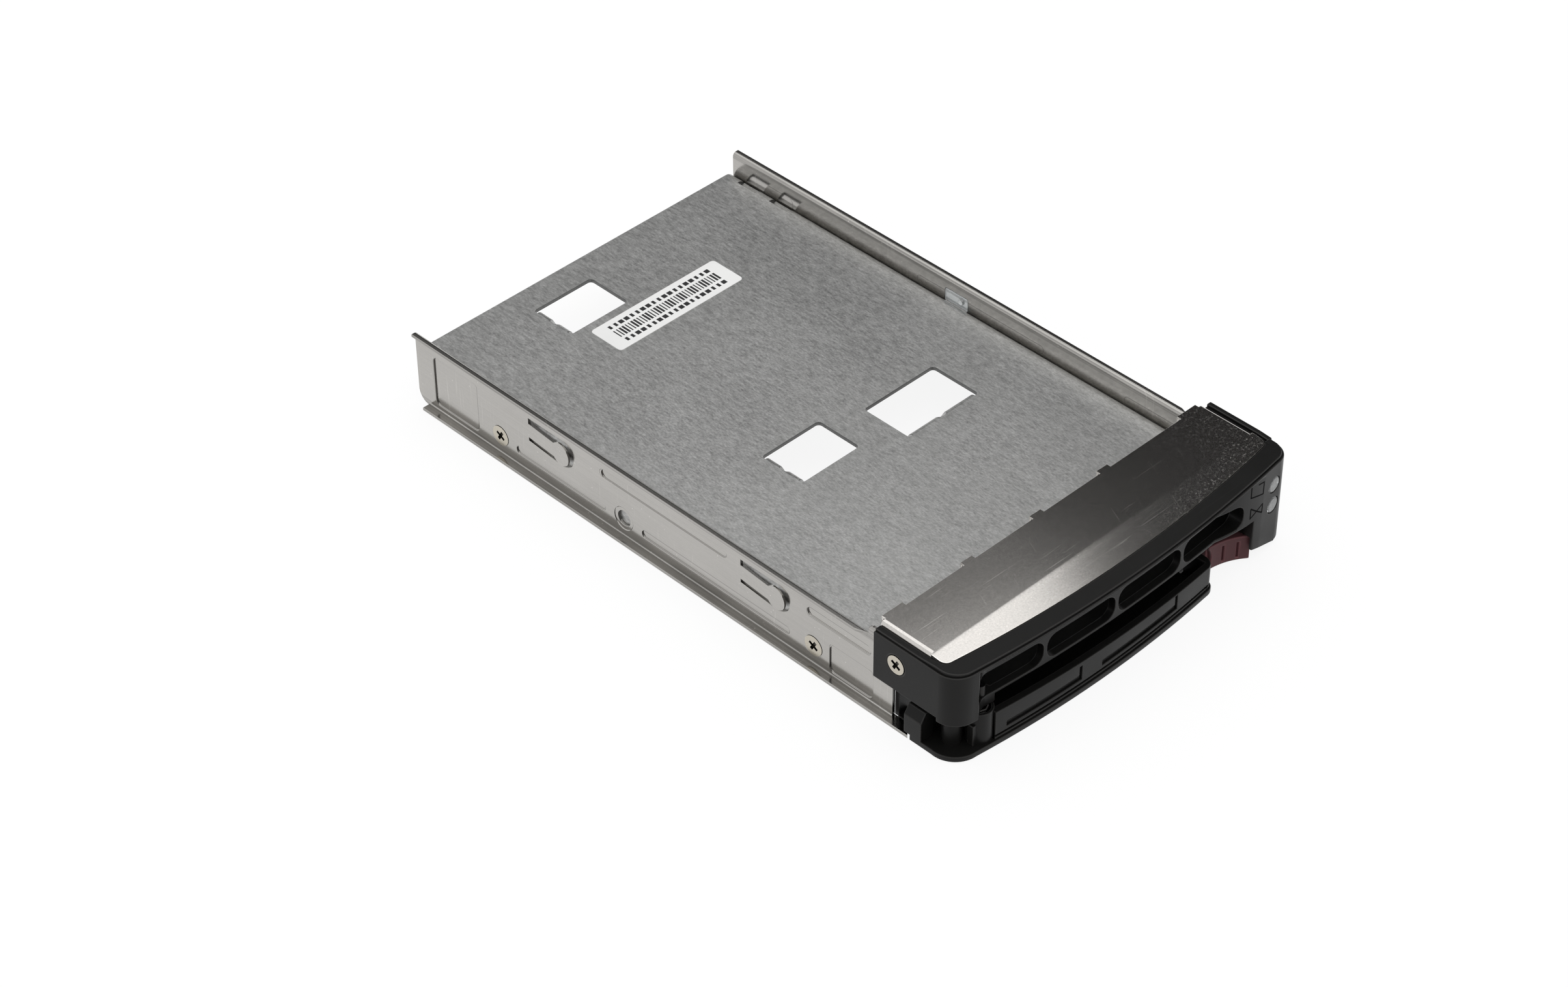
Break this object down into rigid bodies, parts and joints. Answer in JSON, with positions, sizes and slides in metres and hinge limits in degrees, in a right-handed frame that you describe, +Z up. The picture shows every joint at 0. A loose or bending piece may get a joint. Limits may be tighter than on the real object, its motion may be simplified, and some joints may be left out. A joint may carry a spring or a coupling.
{
  "type": "drive converter tray",
  "caption": "Hot-swap drive tray with formed side rails, a windowed plate for a smaller drive, and a bowed slotted bezel with an ejector lever and its release latch.",
  "frame": {"origin": "middle of the bounding box on its underside, the feet of the rails", "axes": "+X to the right seen from the bezel, +Y from the bezel to the rear, +Z up"},
  "size_m": [0.108, 0.178, 0.0254],
  "materials": {
    "rail": "satin",
    "plate": "zinc coated",
    "cover": "brushed",
    "black": "fine texture",
    "burgundy": "satin",
    "screw": "nickel",
    "pin": "ground",
    "spring": "drawn wire",
    "clear": "clear",
    "label": "paper"
  },
  "bodies": {
    "tray": {"left_rail": "rail", "right_rail": "rail", "converter_plate": "plate", "label": "label", "bezel_frame": "black", "bezel_cover": "cover", "lever_pivot_pin": "pin", "pivot_clip": "spring", "lever_spring": "spring", "latch_guide_pin": "pin", "latch_spring": "spring", "light_guide_upper": "clear", "light_guide_lower": "clear", "light_guide_clip": "clear", "rail_screw_left_front": "screw", "rail_screw_left_rear": "screw", "rail_screw_right_front": "screw", "rail_screw_right_rear": "screw", "bezel_screw_left": "screw", "bezel_screw_right": "screw"},
    "lever": {"lever_handle": "black"},
    "latch": {"release_latch": "burgundy"}
  },
  "joints": [
    {"name": "lever_swing", "type": "hinge", "parent": "tray", "child": "lever", "pos_m": [-0.04344, -0.08267, 0.0054], "axis": [0, 0, -1], "range_deg": [0, 55], "deforming": ["lever_spring"]},
    {"name": "latch_slide", "type": "slide", "parent": "tray", "child": "latch", "axis": [1, 0, 0], "range_m": [0, 0.0025], "stiffness_N_per_m": 200, "springref_m": -0.002, "deforming": ["latch_spring"]}
  ]
}
